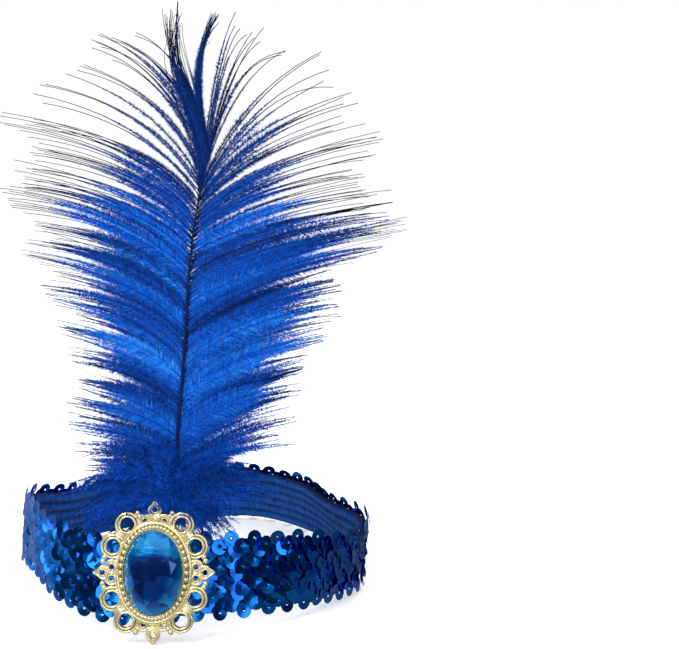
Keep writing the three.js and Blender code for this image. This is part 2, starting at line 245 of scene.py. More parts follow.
def wall_frame(around):
    """Low point, high point, the way along and the level way out at each place round the band."""
    low, high = through(lower_edge, around), through(upper_edge, around)
    ahead = through(lower_edge, around + nudge) + through(upper_edge, around + nudge)
    behind = through(lower_edge, around - nudge) + through(upper_edge, around - nudge)
    way = unit(ahead - behind)
    out = unit(np.column_stack([way[:, 1], -way[:, 0], np.zeros(len(way))]))
    return low, high, way, out


def wall_points(around, height, stand_out):
    low, high, _, out = wall_frame(around)
    points = low + (high - low) * height[:, None] + out * stand_out[:, None] + band_place
    points[:, 2] = np.maximum(points[:, 2], 0)
    return points


# The loop sits where the frame's sequin cover sits
band_place = np.zeros(3)
fit_steps = 240
ring = np.linspace(0, 1, fit_steps, endpoint=False)
cover_stand = 0.0013
drawn = np.vstack([
    wall_points(ring, np.full(fit_steps, edge), np.full(fit_steps, cover_stand)) for edge in (0.0, 1.0)
])
cover_low, cover_high = (np.array(corner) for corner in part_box("sequin_cover"))
band_place = (cover_low + cover_high - drawn.min(axis=0) - drawn.max(axis=0)) / 2
band_place[2] = 0


def swept(name, turns, sections, place, values=None):
    """A grid rolled up both ways: place(turn, section) gives its points, values its attributes."""
    shape = bmesh.new()
    bmesh.ops.create_grid(shape, x_segments=turns, y_segments=sections, size=1)
    mesh = bpy.data.meshes.new(name)
    shape.to_mesh(mesh)
    flat = np.empty(len(mesh.vertices) * 3)
    mesh.vertices.foreach_get("co", flat)
    flat = (flat.reshape(-1, 3) + 1) / 2
    turn = np.rint(flat[:, 0] * turns).astype(int) % turns
    section = np.rint(flat[:, 1] * sections).astype(int) % sections
    mesh.vertices.foreach_set("co", place(turn, section).ravel())
    for key, rule in (values or {}).items():
        mesh.attributes.new(key, "FLOAT", "POINT").data.foreach_set("value", rule(turn, section))
    shape.clear()
    shape.from_mesh(mesh)
    bmesh.ops.remove_doubles(shape, verts=shape.verts, dist=1e-7)
    bmesh.ops.recalc_face_normals(shape, faces=shape.faces)
    bpy.data.meshes.remove(mesh)
    return shape


rng = np.random.default_rng(7)
elastic_turns, rib_steps, ribs = 700, 42, 6
elastic_low, elastic_top = 0.07, 0.87
elastic_face, elastic_wall = -0.0003, 0.0022
rib_swell, flute_depth, flutes = 0.0009, 0.00016, 250
puckers, pucker_share = 90, 0.35
rib_share = np.linspace(1, 0, rib_steps)
rib_height = np.concatenate([
    [elastic_low, elastic_top], elastic_low + rib_share * (elastic_top - elastic_low),
])
rib_round = np.concatenate([[0, 0], np.abs(np.sin(np.pi * ribs * rib_share)) ** 0.7])
rib_stand = np.where(np.arange(rib_steps + 2) < 2, elastic_face, elastic_face - elastic_wall)
rib_number = np.concatenate([[0, 0], np.minimum((rib_share * ribs).astype(int), ribs - 1)])
flute_phase = rng.uniform(0, 2 * np.pi, ribs)
pucker = np.interp(
    np.arange(elastic_turns) / elastic_turns * puckers, np.arange(puckers + 1),
    np.append(rng.uniform(-1, 1, puckers), 0),
)


def elastic_points(turn, section):
    around = turn / elastic_turns
    flute = np.sin(2 * np.pi * flutes * around + flute_phase[rib_number[section]])
    swell = rib_swell * rib_round[section] * (1 + pucker_share * pucker[turn])
    stand = rib_stand[section] - swell - flute_depth * flute * rib_round[section]
    return wall_points(around, rib_height[section], stand)


elastic_shape = swept(
    "elastic", elastic_turns, rib_steps + 2, elastic_points,
    {"rib": lambda turn, section: rib_round[section]},
)
elastic = make_piece("elastic_ribbon", elastic_shape)
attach(elastic, "root")
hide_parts("elastic_band")


def add_ramp(nodes, *stops):
    """A colour ramp with a colour at each position."""
    ramp = add_node(nodes, "ShaderNodeValToRGB")
    elements = ramp.color_ramp.elements
    for element, (position, colour) in zip(elements, (stops[0], stops[-1])):
        element.position = position
        element.color = colour
    for position, colour in stops[1:-1]:
        elements.new(position).color = colour
    return ramp


def add_bump(nodes, noise, shader, strength, distance):
    """The noise raises a fine relief on the material's surface."""
    bump = add_node(nodes, "ShaderNodeBump", Strength=strength, Distance=distance)
    join(noise, "Fac", bump, "Height")
    join(bump, 0, shader, "Normal")


# Dyed yarn with upright threads of uneven shade, and painted shade that darkens the grooves between ribs
yarn, nodes, shader = make_material("ribbed_yarn", Roughness=0.8, Specular_IOR_Level=0.2)
coordinates = add_node(nodes, "ShaderNodeTexCoord")
stretch = add_node(nodes, "ShaderNodeMapping", Scale=(1, 1, 0.12))
threads = add_node(nodes, "ShaderNodeTexNoise", Scale=900, Detail=3)
shade = add_ramp(nodes, (0.3, (0.0005, 0.03, 0.17, 1)), (0.72, (0.002, 0.11, 0.46, 1)))
rib_value = add_node(nodes, "ShaderNodeAttribute", {"attribute_name": "rib"})
# Painted shade: where the rib attribute falls to nothing, in the grooves, the yarn takes this dark
# colour
groove_shade = add_node(nodes, "ShaderNodeMix", {"data_type": "RGBA"}, A=(0.0, 0.008, 0.05, 1))
join(coordinates, "Object", stretch, "Vector")
join(stretch, "Vector", threads, "Vector")
join(threads, "Fac", shade, 0)
join(rib_value, "Fac", groove_shade, "Factor")
join(shade, 0, groove_shade, "B")
join(groove_shade, "Result", shader, "Base Color")
add_bump(nodes, threads, shader, 0.5, 0.0002)
elastic.data.materials.append(yarn)


# The sequins: 6 mm discs of blue metallised film with a hole at the middle, strung on thread that
# zigzags in seven rows, each disc lying over its left neighbour like a scale.
sequin_radius, sequin_hole, sequin_film = 0.003, 0.00045, 0.00012
sequin_rows, sequin_pitch, zigzag = 7, 0.0041, 0.0013
sequin_sides = 12


def spun(profile, steps):
    """A closed outline of (radius, height) spun into a ring round +z."""
    shape = bmesh.new()
    knots = [shape.verts.new((r, 0, z)) for r, z in profile]
    edges = [shape.edges.new((knots[i], knots[(i + 1) % len(knots)])) for i in range(len(knots))]
    bmesh.ops.spin(
        shape, geom=knots + edges, cent=(0, 0, 0), axis=(0, 0, 1), dvec=(0, 0, 0),
        angle=2 * math.pi, steps=steps, use_merge=True,
    )
    bmesh.ops.remove_doubles(shape, verts=shape.verts, dist=1e-7)
    bmesh.ops.recalc_face_normals(shape, faces=shape.faces)
    return shape


# From the hole out: its wall, a flat middle, then a shallow cup out to the edge
disc = spun([
    (sequin_hole, 0.0), (sequin_hole, sequin_film), (0.0009, 0.0002), (sequin_radius, 0.00032),
    (sequin_radius, 0.0002),
], sequin_sides)
disc.verts.ensure_lookup_table()
disc_points = np.array([v.co for v in disc.verts])
disc_faces = np.array([[v.index for v in f.verts] for f in disc.faces])
disc.free()


def turned(axis_a, axis_b, angle):
    """Two unit axes turned towards each other by an angle."""
    c, s = np.cos(angle)[:, None], np.sin(angle)[:, None]
    return axis_a * c + axis_b * s, axis_b * c - axis_a * s


line_steps = 400
middle_line = wall_points(
    np.linspace(0, 1, line_steps), np.full(line_steps, 0.5), np.zeros(line_steps)
)
loop_length = np.linalg.norm(np.diff(middle_line, axis=0), axis=1).sum()
per_row = int(loop_length / sequin_pitch / 2) * 2
row_index = np.repeat(np.arange(sequin_rows), per_row)
in_row = np.tile(np.arange(per_row), sequin_rows)
count = len(row_index)
along_stray, rise_stray = 0.1, 0.0003
around = (in_row + 0.5 * (row_index % 2) + rng.uniform(-along_stray, along_stray, count)) / per_row
row_low, row_rise = 0.0043, 0.00407
rise = (
    row_low + row_rise * row_index + zigzag * np.where(in_row % 2, 1, -1)
    + rng.uniform(-rise_stray, rise_stray, count)
)
low, high, way, out = wall_frame(around)
up = unit(high - low)
face = unit(np.cross(way, up))
side = way
centre_x = wall_points(around, np.full(count, 0.5), np.zeros(count))[:, 0]
# Each disc's left edge lies over its neighbour, its lower edge over the row below. Round the
# loop's two narrow ends the discs lie flatter, and a few everywhere hang loose.
scale_tilt, scale_spread = math.radians(14), math.radians(4.5)
row_tilt, row_spread = math.radians(10), math.radians(4)
loose_share, loose_by = 0.15, 2.2
corner_from, corner_run, corner_flat = 0.057, 0.01, 0.6
loose = np.where(rng.random(count) < loose_share, loose_by, 1.0)
at_corner = np.clip((np.abs(centre_x) - corner_from) / corner_run, 0, 1)
tilt = scale_tilt * (1 - corner_flat * at_corner) + loose * rng.normal(0, scale_spread, count)
face, side = turned(face, side, tilt)
face, up = turned(face, up, row_tilt + loose * rng.normal(0, row_spread, count))
sequin_stand, sequin_lift = 0.0009, 0.0003
centre = wall_points(around, rise / band_height, np.full(count, sequin_stand))
centre = centre + face * rng.uniform(0, sequin_lift, count)[:, None]
spin_angle = rng.uniform(0, 2 * np.pi, count)
side, up = turned(side, up, spin_angle)
sequin_points = (
    centre[:, None]
    + disc_points[None, :, 0, None] * side[:, None]
    + disc_points[None, :, 1, None] * up[:, None]
    + disc_points[None, :, 2, None] * face[:, None]
)
off_table = 0.00005
sequin_points[..., 2] = np.maximum(sequin_points[..., 2], off_table)
first_point = (np.arange(count) * len(disc_points))[:, None, None]
sequin_faces = (disc_faces[None] + first_point).reshape(-1, 4)


def joined_mesh(name, points, faces, values=None):
    """One mesh of many small things worked out as arrays, with its attributes."""
    mesh = bpy.data.meshes.new(name)
    mesh.from_pydata(points.reshape(-1, 3), [], faces.tolist())
    for key, table in (values or {}).items():
        mesh.attributes.new(key, "FLOAT", "POINT").data.foreach_set("value", table.ravel())
    return make_object(name, mesh)


film_shade = np.repeat(rng.uniform(0, 1, count), len(disc_points))
sequins = joined_mesh("sequins", sequin_points, sequin_faces, {"film": film_shade})
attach(sequins, "root")
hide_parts("sequin_cover")


def tinted(nodes, source, output, shader, *stops):
    """The material's colour follows the source's output along a ramp."""
    ramp = add_ramp(nodes, *stops)
    join(source, output, ramp, 0)
    join(ramp, 0, shader, "Base Color")


film, nodes, shader = make_material(
    "blue_film", Metallic=1.0, Roughness=0.17, Coat_Weight=0.3, Coat_Roughness=0.08
)
film_value = add_node(nodes, "ShaderNodeAttribute", {"attribute_name": "film"})
tinted(
    nodes, film_value, "Fac", shader,
    (0, (0.0, 0.12, 0.72, 1)), (1, (0.004, 0.28, 1.0, 1)),
)
sequins.data.materials.append(film)


# The brooch: one gilt casting. An oval cup holds the stone, a row of beads runs round it, and
# eight double rings and four trefoil points are cast on to its edge.
brooch_centre = Vector((-0.0005, -0.0695, 0.02543))
brooch_turn, brooch_lean = 4, 13
brooch_place = (
    Matrix.Translation(Vector(band_place) + brooch_centre)
    @ Matrix.Rotation(math.radians(brooch_turn), 4, "Z")
    @ Matrix.Rotation(math.radians(90 - brooch_lean), 4, "X")
)
stone_x, stone_y = 0.0106, 0.015
plate_back, plate_front = -0.003, -0.0016
casting = bmesh.new()


def cast_on(shape, places):
    """Copies of a shape go on to the casting at each matrix; the shape is freed."""
    mesh = bpy.data.meshes.new("cast_on")
    shape.to_mesh(mesh)
    shape.free()
    for place in places:
        before = len(casting.verts)
        casting.from_mesh(mesh)
        casting.verts.ensure_lookup_table()
        bmesh.ops.transform(casting, matrix=place, verts=casting.verts[before:])
    bpy.data.meshes.remove(mesh)


def bulge(inner, outer, base, height, steps=6):
    """Points of a round wire's top from an inner to an outer radius."""
    middle, half = (inner + outer) / 2, (outer - inner) / 2
    angles = [math.pi * (1 - i / steps) for i in range(steps + 1)]
    return [(middle + half * math.cos(a), base + height * math.sin(a)) for a in angles]


# The oval base: cup wall, bead channel and a soft outer band, drawn as distances out of the stone
base_profile = [
    (0.00035, plate_back), (0.00035, -0.0006), (0.00045, -0.0004), (0.0006, -0.0004), (0.0007, -0.0007),
    (0.0009, -0.001), (0.0021, -0.0011), (0.0024, -0.0008), (0.0027, -0.0007), (0.0031, -0.0009),
    (0.0035, -0.0013), (0.0039, -0.0017), (0.0041, -0.0022), (0.004, plate_back),
]
base_turns = 144
base_out = np.array([p[0] for p in base_profile])
base_up = np.array([p[1] for p in base_profile])


def base_points(turn, section):
    angle = turn / base_turns * 2 * np.pi
    reach = base_out[section]
    return np.column_stack([
        (stone_x + reach) * np.cos(angle), (stone_y + reach) * np.sin(angle), base_up[section],
    ])


cast_on(swept("base", base_turns, len(base_profile), base_points), [Matrix()])
floor_x, floor_y = stone_x + 0.0006, stone_y + 0.0006
floor_level, floor_thick = plate_back + 0.0001, 0.0012
floor_plate = bmesh.new()
bmesh.ops.create_circle(floor_plate, cap_ends=True, segments=64, radius=1)
bmesh.ops.scale(floor_plate, vec=(floor_x, floor_y, 1), verts=floor_plate.verts)
bmesh.ops.translate(floor_plate, vec=(0, 0, floor_level), verts=floor_plate.verts)
bmesh.ops.solidify(floor_plate, geom=floor_plate.faces[:], thickness=-floor_thick)
bmesh.ops.recalc_face_normals(floor_plate, faces=floor_plate.faces)
cast_on(floor_plate, [Matrix()])

beads, bead_radius, bead_out, bead_up = 48, 0.0008, 0.00125, -0.0006
# Equal angles crowd the beads at the oval's narrow ends, and this evens them out
bead_even = 0.09
bead = bmesh.new()
bmesh.ops.create_icosphere(bead, subdivisions=2, radius=bead_radius)
bead_places = []
for i in range(beads):
    angle = 2 * math.pi * i / beads
    angle += bead_even * math.sin(2 * angle)
    spot = ((stone_x + bead_out) * math.cos(angle), (stone_y + bead_out) * math.sin(angle), bead_up)
    bead_places.append(Matrix.Translation(spot))
cast_on(bead, bead_places)

# Each ring is two round wires, the inner one higher, with a groove between them
ring_hole, ring_inner, ring_outer, ring_edge, ring_steps = 0.00245, 0.0034, 0.0036, 0.0046, 40
ring_profile = (
    [(ring_hole, plate_back)]
    + bulge(ring_hole, ring_inner, plate_front, 0.0009)
    + bulge(ring_outer, ring_edge, plate_front - 0.0003, 0.0007)
    + [(ring_edge, plate_back)]
)
ring_centres = [(0.0099, 0.01705), (0.0149, 0.00935)]
corners = [(1, 1), (-1, 1), (-1, -1), (1, -1)]
cast_on(spun(ring_profile, ring_steps), [
    Matrix.Translation((x * cx, y * cy, 0)) for x, y in ring_centres for cx, cy in corners
])

# Three ribs bridge each pair of rings
rib_radius, rib_long, rib_step = 0.00045, 0.0046, 0.00085
bridge_size, bridge_level = (0.0044, 0.0034, 0.0013), plate_front - 0.0006
rib = bmesh.new()
bmesh.ops.create_cone(
    rib, cap_ends=True, segments=10, radius1=rib_radius, radius2=rib_radius, depth=rib_long
)
bmesh.ops.rotate(rib, verts=rib.verts, cent=(0, 0, 0), matrix=Matrix.Rotation(math.pi / 2, 3, "Y"))
bridge = bmesh.new()
bmesh.ops.create_cube(bridge, size=1)
bmesh.ops.scale(bridge, vec=bridge_size, verts=bridge.verts)
rib_places, bridge_places = [], []
for cx, cy in corners:
    first, second = (Vector((x * cx, y * cy, 0)) for x, y in ring_centres)
    heading = second - first
    turn = Matrix.Rotation(math.atan2(heading.y, heading.x) + math.pi / 2, 4, "Z")
    middle = (first + second) / 2
    bridge_places.append(Matrix.Translation((middle.x, middle.y, bridge_level)) @ turn)
    for step in (-1, 0, 1):
        spot = middle + heading.normalized() * rib_step * step
        rib_places.append(Matrix.Translation((spot.x, spot.y, plate_front)) @ turn)
cast_on(rib, rib_places)
cast_on(bridge, bridge_places)

# Trefoil points: an outer eye in a pointed leaf, and an inner pair
eye_hole, eye_inner, eye_outer, eye_edge, eye_steps = 0.0009, 0.0014, 0.0015, 0.0021, 24
eye_profile = (
    [(eye_hole, plate_back)]
    + bulge(eye_hole, eye_inner, plate_front, 0.0007, 5)
    + bulge(eye_outer, eye_edge, plate_front - 0.0003, 0.0005, 4)
    + [(eye_edge, plate_back)]
)
# Turn, the outer eye, the inner pair, their spread and the tip, measured out from the centre
end_point, side_point = (0.0225, 0.0183, 0.0035, 0.0254), (0.0186, 0.0152, 0.0020, 0.0223)
points_table = [(0, *end_point), (90, *side_point), (180, *end_point), (270, *side_point)]
# The right half of the leaf round the outer eye, from below it to beside its tip
leaf_half = [(0.0019, -0.0022), (0.0024, -0.0006), (0.0021, 0.0006), (0.0009, 0.0018)]
leaf_up, leaf_thick, neck_trim, neck_drop = plate_front - 0.0001, 0.0012, 0.0006, 0.0016
eye_places = []
for turn, eye, pair, spread, tip in points_table:
    spin = Matrix.Rotation(math.radians(-turn), 4, "Z")
    for spot in ((0, eye, 0), (spread, pair, 0), (-spread, pair, 0)):
        eye_places.append(spin @ Matrix.Translation(spot))
    leaf = bmesh.new()
    right = [(x, eye + y) for x, y in leaf_half]
    outline = [(-right[0][0], right[0][1])] + right + [(0, tip)] + [(-x, y) for x, y in right[:0:-1]]
    rim = [leaf.verts.new((x, y, leaf_up)) for x, y in outline]
    for i in range(len(rim)):
        leaf.edges.new((rim[i], rim[(i + 1) % len(rim)]))
    bmesh.ops.create_circle(
        leaf, segments=16, radius=eye_hole + 0.0002, matrix=Matrix.Translation((0, eye, leaf_up))
    )
    bmesh.ops.triangle_fill(leaf, use_beauty=True, edges=leaf.edges[:], normal=(0, 0, 1))
    bmesh.ops.solidify(leaf, geom=leaf.faces[:], thickness=leaf_thick)
    bmesh.ops.recalc_face_normals(leaf, faces=leaf.faces)
    cast_on(leaf, [spin])
    neck = bmesh.new()
    bmesh.ops.create_cube(neck, size=1)
    neck_size = ((spread - eye_hole) * 2 - neck_trim, eye - pair, leaf_thick)
    neck_spot = (0, (eye + pair) / 2 - neck_drop, plate_front - 0.0008)
    bmesh.ops.scale(neck, vec=neck_size, verts=neck.verts)
    bmesh.ops.translate(neck, vec=neck_spot, verts=neck.verts)
    cast_on(neck, [spin])
cast_on(spun(eye_profile, eye_steps), eye_places)


def wire(points, radius, closed=False):
    """A round wire through the points, as a bmesh."""
    curve = bpy.data.curves.new("wire", "CURVE")
    curve.dimensions = "3D"
    line = curve.splines.new("NURBS")
    line.points.add(len(points) - 1)
    for knot, place in zip(line.points, points):
        knot.co = (*place, 1)
    line.order_u = 3
    line.use_endpoint_u = not closed
    line.use_cyclic_u = closed
    line.resolution_u = 4
    curve.bevel_depth = radius
    curve.bevel_resolution = 1
    curve.use_fill_caps = not closed
    item = make_object("wire", curve)
    mesh = bpy.data.meshes.new_from_object(item.evaluated_get(bpy.context.evaluated_depsgraph_get()))
    shape = bmesh.new()
    shape.from_mesh(mesh)
    bpy.data.objects.remove(item)
    bpy.data.curves.remove(curve)
    bpy.data.meshes.remove(mesh)
    return shape


# Each point has a wire kite round its outer eye and a curl over each eye of its pair
wire_up, kite_wire, curl_wire, curl_radius = plate_front + 0.0001, 0.00042, 0.0004, 0.0024
for turn, eye, pair, spread, tip in points_table:
    spin = Matrix.Rotation(math.radians(-turn), 4, "Z")
    kite = [
        (0, tip, wire_up - 0.0004),
        (0.0009, eye + 0.0017, wire_up),
        (0.0024, eye + 0.0003, wire_up),
        (0.0021, eye - 0.0017, wire_up),
        (0, eye - 0.0025, wire_up),
    ]
    kite += [(-x, y, z) for x, y, z in kite[-2:0:-1]]
    cast_on(wire(kite, kite_wire, closed=True), [spin])
    for sign in (-1, 1):
        curl = [(0, eye - 0.0028, wire_up)]
        for degrees in range(150, -91, -30):
            a = math.radians(degrees)
            x = sign * (spread + curl_radius * math.cos(a))
            curl.append((x, pair + curl_radius * math.sin(a), wire_up))
        cast_on(wire(curl, curl_wire), [spin])

# Four more beads in each quarter fill the gaps beside the points
pearl_radius, pearl_level = 0.00105, plate_front - 0.0004
pearl = bmesh.new()
bmesh.ops.create_icosphere(pearl, subdivisions=2, radius=pearl_radius)
pearls = [(0.0055, 0.0200), (0.0063, 0.0212), (0.0180, 0.0054), (0.0186, 0.0040)]
cast_on(pearl, [
    Matrix.Translation((x * cx, y * cy, pearl_level)) for x, y in pearls for cx, cy in corners
])
bmesh.ops.transform(casting, matrix=brooch_place, verts=casting.verts)
brooch = make_piece("brooch_casting", casting)
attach(brooch, "root")
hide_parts("brooch_frame")
gilt, nodes, shader = make_material("pale_gilt", Metallic=0.84, Roughness=0.2)
# The casting's colour follows its pointiness: its hollows are darker, partly antiquing and partly
# painted shade, and its sharp edges are paler as a painted highlight
bend = add_node(nodes, "ShaderNodeNewGeometry")
tinted(
    nodes, bend, "Pointiness", shader,
    (0.43, (0.2, 0.11, 0.02, 1)), (0.5, (1.0, 0.88, 0.45, 1)), (0.57, (1.0, 0.93, 0.62, 1)),
)
brooch.data.materials.append(gilt)


# The stone: moulded acrylic, cut as an oval with a broad table, star facets and kites, and
# foiled behind. It is pressed into the cup. Each row is a ring of corners: its share of the oval's
# half width and height, its height above the girdle, its number of corners and their turn.
stone_rings = [(0.66, 0.0033, 12, 0), (0.85, 0.0021, 12, 0.5), (1, 0, 24, 0), (0.93, -0.0012, 24, 0)]
stone_shape = bmesh.new()
for share, z, number, offset in stone_rings:
    for i in range(number):
        angle = (i + offset) / number * 2 * math.pi
        stone_shape.verts.new((stone_x * share * math.cos(angle), stone_y * share * math.sin(angle), z))
bmesh.ops.convex_hull(stone_shape, input=stone_shape.verts)
bmesh.ops.dissolve_limit(
    stone_shape, angle_limit=math.radians(1), verts=stone_shape.verts, edges=stone_shape.edges
)
bmesh.ops.recalc_face_normals(stone_shape, faces=stone_shape.faces)
bmesh.ops.transform(stone_shape, matrix=brooch_place, verts=stone_shape.verts)
stone = make_piece("oval_stone", stone_shape, smooth=False)
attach(stone, "root")
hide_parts("brooch_stone")
acrylic, nodes, shader = make_material(
    "foiled_acrylic", Metallic=0.75, Roughness=0.08, Coat_Weight=1.0, Coat_Roughness=0.02
)
# Painted reflection: the foil's facets, seen through the acrylic, are painted as angular patches of
# light and dark, with a painted highlight round the girdle and at the stone's upper end
stone_place = add_node(nodes, "ShaderNodeTexCoord")
stone_centre = add_node(nodes, "ShaderNodeMapping", Location=-brooch_place.translation)
facet_glints = add_node(nodes, "ShaderNodeTexVoronoi", Scale=190)
facet_glint_level = add_node(nodes, "ShaderNodeSeparateColor")
oval_squash = add_node(nodes, "ShaderNodeMapping", Scale=(1 / stone_x, 0, 1 / stone_y))
oval_reach = add_node(nodes, "ShaderNodeVectorMath", {"operation": "LENGTH"})
girdle_highlight = add_node(nodes, "ShaderNodeMapRange", From_Min=0.45, From_Max=1.0, To_Min=0, To_Max=0.55)
stone_split = add_node(nodes, "ShaderNodeSeparateXYZ")
top_highlight = add_node(
    nodes, "ShaderNodeMapRange", From_Min=0.0066, From_Max=0.0074, To_Min=0, To_Max=0.3
)
painted_highlight_sum = add_node(nodes, "ShaderNodeMath")
painted_reflection_mix = add_node(nodes, "ShaderNodeMath", {"operation": "MULTIPLY_ADD"})
facet_glint_part = 0.46
painted_reflection_mix.inputs[1].default_value = facet_glint_part
join(stone_place, "Object", stone_centre, "Vector")
join(stone_centre, "Vector", facet_glints, "Vector")
join(facet_glints, "Color", facet_glint_level, 0)
join(stone_centre, "Vector", oval_squash, "Vector")
join(oval_squash, "Vector", oval_reach, 0)
join(oval_reach, "Value", girdle_highlight, "Value")
join(stone_centre, "Vector", stone_split, 0)
join(stone_split, "Z", top_highlight, "Value")
join(girdle_highlight, 0, painted_highlight_sum, 0)
join(top_highlight, 0, painted_highlight_sum, 1)
join(facet_glint_level, 0, painted_reflection_mix, 0)
join(painted_highlight_sum, 0, painted_reflection_mix, 2)
# The painted reflections and highlights run from dark navy to bright blue in the base colour
tinted(
    nodes, painted_reflection_mix, 0, shader,
    (0.1, (0.0, 0.02, 0.16, 1)), (0.45, (0.0, 0.07, 0.38, 1)), (0.85, (0.0, 0.34, 0.85, 1)),
)
# Fine scratches on the table
scratch_stretch = add_node(nodes, "ShaderNodeMapping", Rotation=(0.3, 0.5, 0.2), Scale=(1, 12, 9))
scratches = add_node(nodes, "ShaderNodeTexNoise", Scale=160, Detail=4)
join(stone_centre, "Vector", scratch_stretch, "Vector")
join(scratch_stretch, "Vector", scratches, "Vector")
add_bump(nodes, scratches, shader, 0.08, 0.0001)
stone.data.materials.append(acrylic)


# The pad: a plain drop of clear glue that fixes the casting to the sequins behind it.
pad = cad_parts["brooch_pad"]
glue, nodes, shader = make_material("set_glue", Base_Color=(0.7, 0.68, 0.58, 1), Roughness=0.35)
haze = add_node(nodes, "ShaderNodeTexNoise", Scale=400)
add_bump(nodes, haze, shader, 0.3, 0.0003)
pad.data.materials.clear()
pad.data.materials.append(glue)


# The plume: one dyed ostrich feather. Soft barbs spring from both sides of its quill, each with
# two rows of loose barbules, and hang together in pointed locks.
quill_points = np.array([
    (0.0036, -0.0654, 0.022), (0.0042, -0.0619, 0.037), (0.0054, -0.0586, 0.053),
    (0.0066, -0.0570, 0.075), (0.0094, -0.0558, 0.103), (0.0119, -0.0549, 0.138),
    (0.0150, -0.0545, 0.157), (0.0190, -0.0545, 0.174), (0.0135, -0.0552, 0.195),
    (0.0080, -0.0562, 0.211), (0.0102, -0.0581, 0.226),
]) + band_place


def quill_at(height):
    """The quill's point at each height."""
    return np.column_stack([
        np.interp(height, quill_points[:, 2], quill_points[:, 0]),
        np.interp(height, quill_points[:, 2], quill_points[:, 1]),
        height,
    ])


# Height of the root, then how far and how high the barbs reach, left and right
reach_table = np.array([
    (0.058, -0.029, 0.064, 0.046, 0.070),
    (0.067, -0.032, 0.081, 0.045, 0.086),
    (0.078, -0.030, 0.092, 0.050, 0.097),
    (0.089, -0.033, 0.106, 0.055, 0.109),
    (0.100, -0.037, 0.120, 0.057, 0.121),
    (0.111, -0.042, 0.133, 0.067, 0.133),
    (0.122, -0.045, 0.145, 0.076, 0.144),
    (0.134, -0.054, 0.161, 0.078, 0.155),
    (0.145, -0.055, 0.174, 0.077, 0.167),
    (0.1535, -0.053, 0.186, 0.075, 0.181),
    (0.160, -0.044, 0.197, 0.066, 0.195),
    (0.1655, -0.033, 0.206, 0.055, 0.208),
    (0.1705, -0.021, 0.215, 0.042, 0.217),
    (0.176, -0.010, 0.222, 0.030, 0.222),
])


def strands(controls, steps):
    """Bezier strands through the first and last of their control points: (strand, step, xyz)."""
    t = np.linspace(0, 1, steps)[None, :, None]
    last = len(controls) - 1
    return sum(
        math.comb(last, k) * (1 - t) ** (last - k) * t**k * point[:, None]
        for k, point in enumerate(controls)
    )


core_corners = ((1, 0), (-0.5, 0.87), (-0.5, -0.87))
# A strand is darker than its barbules, the more so towards its tip
core_dark, core_foot, core_slope, core_least = 0.24, 1.5, 1.6, 0.15
# Barbules grow shorter towards the end of the barbed part, and right at the strand's foot
end_slope, end_least = 2.4, 0.14
foot_slope, foot_least = 14, 0.42
# A barbule strays little near the strand's foot
stray_slope, stray_least = 5, 0.15
# Ranges of a barbule's lean towards the tip, its length, half its foot, and its shade
blade_lean, blade_size = (0.55, 1.5), (0.55, 1.2)
blade_foot, blade_shade = (0.00009, 0.00017), (0.6, 1.25)
blade_foot_dark = 0.7


